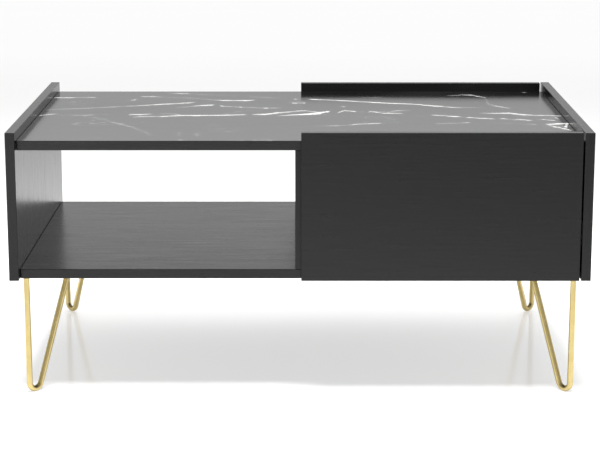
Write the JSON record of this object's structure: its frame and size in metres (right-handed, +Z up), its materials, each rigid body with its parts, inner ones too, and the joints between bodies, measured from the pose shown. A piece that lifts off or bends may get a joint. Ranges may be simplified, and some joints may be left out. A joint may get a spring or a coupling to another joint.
{
  "type": "coffee table",
  "caption": "Low coffee table with raised side panels, an open bay, a handleless drawer on telescopic runners with a push latch, and hairpin legs.",
  "frame": {"origin": "on the floor, under the middle of the table's plan", "axes": "+X to the right along the width, seen from the front; -Y out of the drawer front; +Z up"},
  "size_m": [0.97, 0.6, 0.452],
  "materials": {
    "black_laminate": "black matt laminated board with a fine lengthwise grain and matching edge bands",
    "marble_laminate": "board with a satin print of black marble with fine white veins on its upper face",
    "box_board": "anthracite foiled drawer board",
    "base_board": "thin painted fibreboard",
    "gold_metal": "satin gold finish on steel rod and plate",
    "zinc": "cast zinc, dull",
    "plated_steel": "bright zinc-plated steel",
    "grey_plastic": "grey moulded plastic",
    "white_plastic": "pale moulded plastic"
  },
  "bodies": {
    "root": {"side_panel_left": "black_laminate", "side_panel_right": "black_laminate", "table_top": "marble_laminate", "bottom_shelf": "black_laminate", "divider": "black_laminate", "back_panel": "black_laminate", "runner_cabinet_left": "plated_steel", "runner_cabinet_right": "plated_steel", "latch_housing": "grey_plastic", "leg_rod_front_left": "gold_metal", "leg_rod_front_right": "gold_metal", "leg_rod_back_left": "gold_metal", "leg_rod_back_right": "gold_metal", "leg_plate_front_left": "gold_metal", "leg_plate_front_right": "gold_metal", "leg_plate_back_left": "gold_metal", "leg_plate_back_right": "gold_metal", "leg_screw_front_left_1": "plated_steel", "leg_screw_front_left_2": "plated_steel", "leg_screw_front_left_3": "plated_steel", "leg_screw_front_right_1": "plated_steel", "leg_screw_front_right_2": "plated_steel", "leg_screw_front_right_3": "plated_steel", "leg_screw_back_left_1": "plated_steel", "leg_screw_back_left_2": "plated_steel", "leg_screw_back_left_3": "plated_steel", "leg_screw_back_right_1": "plated_steel", "leg_screw_back_right_2": "plated_steel", "leg_screw_back_right_3": "plated_steel", "cam_disc_top_left_front": "zinc", "cam_disc_top_left_back": "zinc", "cam_disc_top_right_front": "zinc", "cam_disc_top_right_back": "zinc", "cam_disc_shelf_left_front": "zinc", "cam_disc_shelf_left_back": "zinc", "cam_disc_shelf_right_front": "zinc", "cam_disc_shelf_right_back": "zinc", "cam_bolt_top_left_front": "plated_steel", "cam_bolt_top_left_back": "plated_steel", "cam_bolt_top_right_front": "plated_steel", "cam_bolt_top_right_back": "plated_steel", "cam_bolt_shelf_left_front": "plated_steel", "cam_bolt_shelf_left_back": "plated_steel", "cam_bolt_shelf_right_front": "plated_steel", "cam_bolt_shelf_right_back": "plated_steel", "divider_screw_front": "plated_steel", "divider_screw_back": "plated_steel"},
    "drawer": {"drawer_front": "black_laminate", "drawer_inner_front": "box_board", "drawer_side_left": "box_board", "drawer_side_right": "box_board", "drawer_back": "box_board", "drawer_base": "base_board", "runner_drawer_left": "plated_steel", "runner_drawer_right": "plated_steel", "front_screw_left": "plated_steel", "front_screw_right": "plated_steel"},
    "runner_middle_left": {"runner_middle_left": "plated_steel"},
    "runner_middle_right": {"runner_middle_right": "plated_steel"},
    "latch_plunger": {"latch_plunger": "white_plastic"}
  },
  "joints": [
    {"name": "drawer_slide", "type": "slide", "parent": "root", "child": "drawer", "axis": [0, -1, 0], "range_m": [0, 0.5]},
    {"name": "runner_slide_left", "type": "slide", "parent": "root", "child": "runner_middle_left", "axis": [0, -1, 0], "range_m": [0, 0.25]},
    {"name": "runner_slide_right", "type": "slide", "parent": "root", "child": "runner_middle_right", "axis": [0, -1, 0], "range_m": [0, 0.25]},
    {"name": "latch_press", "type": "slide", "parent": "root", "child": "latch_plunger", "axis": [0, 1, 0], "range_m": [0, 0.003], "stiffness_N_per_m": 400, "springref_m": -0.002}
  ],
  "couplings": [
    {"joint": "runner_slide_left", "follows": "drawer_slide", "ratio": 0.5},
    {"joint": "runner_slide_right", "follows": "drawer_slide", "ratio": 0.5}
  ]
}
